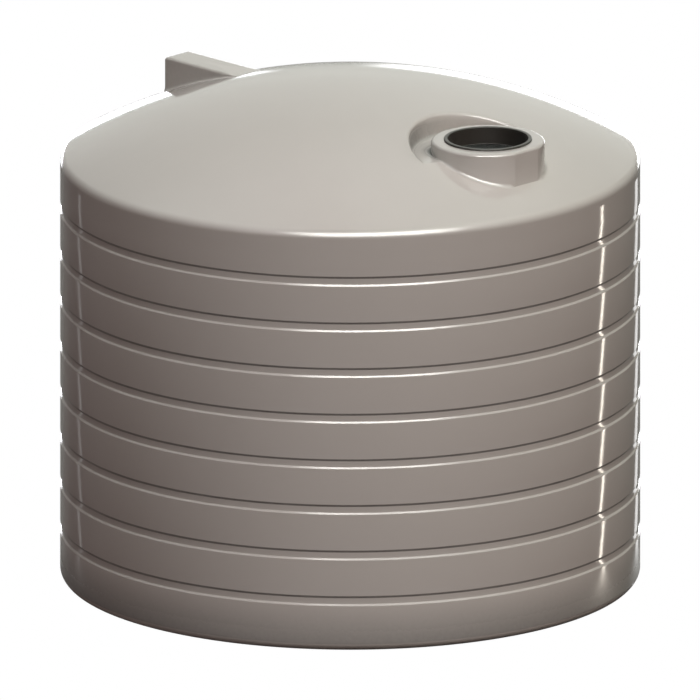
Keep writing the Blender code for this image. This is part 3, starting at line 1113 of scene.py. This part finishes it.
@dataclass(frozen=True)
class Glow:
    """A soft-edged patch of light on the studio's far walls, placed by its direction from the tank.

    Azimuth is to the right of the camera and elevation above the horizon. Both, and the width,
    height and the widths of the edges over which it fades, are degrees. Radiance is the brightness
    of its middle.
    """

    azimuth: float
    elevation: float
    width: float
    height: float
    side_fade: float
    level_fade: float
    radiance: float
    colour: str = "FFFFFF"

    def add(self, tree: NodeTree, bearing: NodeSocket, rise: NodeSocket) -> NodeSocket:
        """Adds the patch's light to the world's nodes.

        Args:
            tree: The world's node tree.
            bearing: The direction's azimuth in radians, 0 towards -Y and a right angle towards +X.
            rise: Its elevation in radians.

        Returns:
            The light's colour.
        """
        middle = math.radians(CAMERA_AZIMUTH + self.azimuth)
        aside = add_node(tree, "ShaderNodeMath", {"operation": "SUBTRACT", 1: middle}, {0: bearing})
        aside = add_node(tree, "ShaderNodeMath", {"operation": "WRAP", 1: -math.pi, 2: math.pi},
                         {0: aside.outputs[0]})
        above = add_node(tree, "ShaderNodeMath", {"operation": "SUBTRACT", 1: math.radians(self.elevation)},
                         {0: rise})
        ways = (aside, self.width, self.side_fade), (above, self.height, self.level_fade)
        across, upright = (light_left(tree, offset.outputs[0], math.radians(size + fade) / 2,
                                      math.radians(size - fade) / 2) for offset, size, fade in ways)
        part = add_node(tree, "ShaderNodeMath", {"operation": "MULTIPLY", 1: self.radiance}, {0: across})
        whole = add_node(tree, "ShaderNodeMath", {"operation": "MULTIPLY"}, {0: part.outputs[0], 1: upright})
        return add_node(tree, "ShaderNodeVectorMath", {"operation": "SCALE", 0: linear(self.colour)[:3]},
                        {"Scale": whole.outputs[0]}).outputs["Vector"]


@dataclass(frozen=True)
class Lamp:
    """A lamp seen in reflections alone, placed by its direction from what it faces.

    Azimuth is to the right of the camera and elevation above the horizon, in degrees. Radiance is
    the brightness of its face.
    """

    name: str
    azimuth: float
    elevation: float
    width: float
    height: float
    radiance: float
    colour: str = "FFFFFF"

    def hang(self, target: Vector, distance: float, size: Sequence[float]) -> Object:
        """Makes the lamp, turned to face the target, with the power that gives its radiance.

        Args:
            target: The point that it faces.
            distance: How far from the target it hangs.
            size: Its width and height in metres.

        Returns:
            The lamp.
        """
        light = bpy.data.lights.new(self.name, "AREA")
        light.shape = "RECTANGLE"
        light.size, light.size_y = size
        light.energy = self.radiance * math.pi * light.size * light.size_y
        back = bearing_vector(CAMERA_AZIMUTH + self.azimuth, self.elevation)
        lamp = stand_off(self.name, light, target, back, distance)
        lamp.visible_camera = lamp.visible_diffuse = False
        return lamp


@dataclass(frozen=True)
class Strip(Lamp):
    """A far, narrow lamp whose reflection draws a line down the wall, and which no other piece shows.

    Its width and height are degrees as seen from the tank.
    """

    def build(self, target: Vector, distance: float, receivers: Collection) -> None:
        """Makes the lamp.

        Args:
            target: The point that it faces.
            distance: How far from the target it hangs.
            receivers: What it lights.
        """
        size = [2 * distance * math.tan(math.radians(angle) / 2) for angle in (self.width, self.height)]
        lamp = self.hang(target, distance, size)
        lamp.data.color = linear(self.colour)[:3]
        lamp.light_linking.receiver_collection = receivers


@dataclass(frozen=True)
class LightPanel(Lamp):
    """A wide panel close in front, whose reflection draws the bright line along the shoulder.

    Width, height and distance are metres. Its light fades towards its edges over a share of its
    width and height.
    """

    name: str = "light_panel"
    azimuth: float = 14.0
    elevation: float = 44.0
    width: float = 5.2
    height: float = 2.8
    radiance: float = 15.0
    colour: str = "FFFEF9"
    distance: float = 3.0
    edge_share: float = 0.30

    def build(self, target: Vector) -> None:
        """Makes the panel, and fades its light by the place on its face, which is 0 to 1 both ways.

        Args:
            target: The point that it faces.
        """
        light = self.hang(target, self.distance, (self.width, self.height)).data
        light.use_nodes = True
        tree = light.node_tree
        place = add_node(tree, "ShaderNodeNewGeometry").outputs["Parametric"]
        split = add_node(tree, "ShaderNodeSeparateXYZ", links={"Vector": place})
        shares = {}
        for index, axis in enumerate("XY"):
            links = {0: split.outputs[axis]}
            aside = add_node(tree, "ShaderNodeMath", {"operation": "SUBTRACT", 1: 0.5}, links).outputs[0]
            shares[index] = light_left(tree, aside, 0.5, 0.5 - self.edge_share)
        amount = add_node(tree, "ShaderNodeMath", {"operation": "MULTIPLY"}, shares)
        set_node(tree, tree.nodes["Emission"], {"Color": linear(self.colour)},
                 {"Strength": amount.outputs[0]})


@dataclass
class Studio:
    """The camera, a plain pale floor and soft studio light."""

    camera_elevation: float = 15.576
    camera_distance: float = 30.0
    view_limit: float = 400.0
    frame_width: float = 3.5602
    centre_right: float = -0.0009
    centre_z: float = 1.1835
    floor_size: float = 400.0
    floor_drop: float = 0.002
    light_distance: float = 60.0
    lighting: tuple[Glow, ...] = (
        Glow(0.0, 91.0, 380.0, 47.6, 10.0, 8.0, 3.04, "FCFFFB"),
        Glow(36.1, 41.0, 71.3, 61.0, 38.1, 14.5, 1.53, "FFECE1"),
        Glow(-124.4, -12.2, 147.1, 41.8, 83.8, 11.6, 0.48, "FFE4DE"),
    )
    reflections: tuple[Glow, ...] = (
        Glow(13.2, 46.0, 100.0, 46.0, 60.0, 22.0, 2.00, "FFFEF9"),
        Glow(-1.0, 42.0, 127.8, 66.0, 129.6, 26.0, 1.70, "FBF7FF"),
        Glow(-176.4, 46.2, 46.2, 110.2, 32.2, 35.8, 0.80, "FFFFF9"),
        Glow(-100.0, 65.5, 106.1, 71.7, 42.7, 55.7, 1.37, "F0FFF9"),
        Glow(77.2, 66.5, 147.3, 95.0, 129.5, 99.4, 2.80, "EDFFED"),
        Glow(0.0, 79.8, 380.0, 55.5, 10.0, 33.0, 0.80, "FFFCFF"),
        Glow(7.4, -23.4, 126.2, 36.4, 109.0, 96.0, 2.54, "FFFDFB"),
        Glow(-169.5, -5.8, 16.1, 9.4, 2.0, 2.0, 10.0, "F7F9FF"),
        Glow(169.5, -5.8, 18.0, 9.8, 3.0, 2.0, 8.0, "FCFDFF"),
    )
    strips: tuple[Strip, ...] = (
        Strip("strip_side", 119.4, -13.0, 1.5, 16.0, 14.0, "FFF6E8"),
        Strip("strip_back", 160.0, -13.0, 6.0, 16.0, 1.4),
        Strip("strip_left", -136.5, -13.0, 2.0, 18.0, 0.6),
    )

    def build_camera(self) -> None:
        """A camera without perspective, at the photograph's angle and scale."""
        back = bearing_vector(CAMERA_AZIMUTH, self.camera_elevation)
        right = bearing_vector(CAMERA_AZIMUTH + 90.0, 0.0)
        camera = bpy.data.cameras.new("camera")
        camera.type = "ORTHO"
        camera.ortho_scale = self.frame_width
        camera.clip_end = self.view_limit
        target = right * self.centre_right + Vector((0.0, 0.0, self.centre_z))
        bpy.context.scene.camera = stand_off("camera", camera, target, back, self.camera_distance)

    def build_floor(self) -> None:
        """A pale floor that only the camera sees, so that it throws no light up the tank."""
        half = self.floor_size / 2
        corners = [(-half, -half, 0.0), (half, -half, 0.0), (half, half, 0.0), (-half, half, 0.0)]
        mesh = bpy.data.meshes.new("floor")
        mesh.from_pydata(corners, [], [(0, 1, 2, 3)])
        floor = link_object("floor", mesh)
        floor.location.z = -self.floor_drop
        material = bpy.data.materials.new("pale_floor")
        material.use_nodes = True
        tree = material.node_tree
        glow = add_node(tree, "ShaderNodeEmission", {"Color": linear("FFFFFF"), "Strength": 1.0})
        tree.links.new(glow.outputs["Emission"], tree.nodes["Material Output"].inputs["Surface"])
        mesh.materials.append(material)
        for ray in ("diffuse", "glossy", "transmission", "volume_scatter", "shadow"):
            setattr(floor, f"visible_{ray}", False)

    def build_world(self) -> None:
        """Pale walls to the camera, and the glows to the tank: some light it, and some it reflects."""
        world = bpy.data.worlds.new("studio")
        world.use_nodes = True
        world.cycles.sampling_method = "NONE"
        tree = world.node_tree
        tree.nodes.clear()
        place = add_node(tree, "ShaderNodeTexCoord")
        split = add_node(tree, "ShaderNodeSeparateXYZ", links={"Vector": place.outputs["Generated"]})
        back = add_node(tree, "ShaderNodeMath", {"operation": "MULTIPLY", 1: -1.0}, {0: split.outputs["Y"]})
        bearing = add_node(tree, "ShaderNodeMath", {"operation": "ARCTAN2"},
                           {0: split.outputs["X"], 1: back.outputs[0]}).outputs[0]
        rise = add_node(tree, "ShaderNodeMath", {"operation": "ARCSINE"}, {0: split.outputs["Z"]}).outputs[0]
        ray = add_node(tree, "ShaderNodeLightPath")
        lit, seen = (self.add_glows(tree, glows, bearing, rise)
                     for glows in (self.lighting, self.reflections))
        soft = add_node(tree, "ShaderNodeMixShader", links={
            0: ray.outputs["Is Glossy Ray"], 1: lit.outputs["Background"], 2: seen.outputs["Background"]})
        pale = add_node(tree, "ShaderNodeBackground", {"Color": linear("FFFFFF")})
        choose = add_node(tree, "ShaderNodeMixShader", links={
            0: ray.outputs["Is Camera Ray"], 1: soft.outputs["Shader"], 2: pale.outputs["Background"]})
        add_node(tree, "ShaderNodeOutputWorld", links={"Surface": choose.outputs["Shader"]})
        bpy.context.scene.world = world

    def add_glows(self, tree: NodeTree, glows: Sequence[Glow], bearing: NodeSocket, rise: NodeSocket) -> Node:
        """Adds some glows up into one background.

        Args:
            tree: The world's node tree.
            glows: The patches of light.
            bearing: The direction's azimuth in radians.
            rise: Its elevation in radians.

        Returns:
            The background's node.
        """
        total = None
        for glow in glows:
            light = glow.add(tree, bearing, rise)
            total = light if total is None else add_node(
                tree, "ShaderNodeVectorMath", {"operation": "ADD"}, {0: total, 1: light}).outputs["Vector"]
        return add_node(tree, "ShaderNodeBackground", links={"Color": total})

    def build(self, form: TankForm) -> None:
        """Sets up the camera, the floor, the world, the strips and the panel.

        Args:
            form: The tank's sizes, for the shoulder's nearest point, which the panel faces.
        """
        self.build_camera()
        self.build_floor()
        self.build_world()
        receivers = bpy.data.collections.new("strip_receivers")
        receivers.objects.link(bpy.data.objects["moulded_body"])
        middle = Vector((0.0, 0.0, self.centre_z))
        for strip in self.strips:
            strip.build(middle, self.light_distance, receivers)
        nearest = bearing_vector(CAMERA_AZIMUTH, 0.0) * form.shoulder_r + Vector((0.0, 0.0, form.seam_z))
        LightPanel().build(nearest)
        bpy.context.scene.view_settings.view_transform = "Standard"


def main() -> None:
    """Builds the tank's pieces in order round the frame, then the studio, and reports each."""
    logging.basicConfig(level=logging.INFO, format="%(name)s: %(message)s")
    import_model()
    form = TankForm()
    moulded = MouldedPolyethylene().build()
    black = BlackPolypropylene().build()
    wire = WovenStainless().build()
    MouldedBody(form, moulded).build()
    MouldedRoof(form, moulded).build()
    OverflowBox(form, moulded).build()
    strainer = Strainer(form, black, wire)
    strainer.build_rim()
    strainer.build_basket()
    strainer.build_mesh()
    Studio().build(form)


if __name__ == "__main__":
    main()
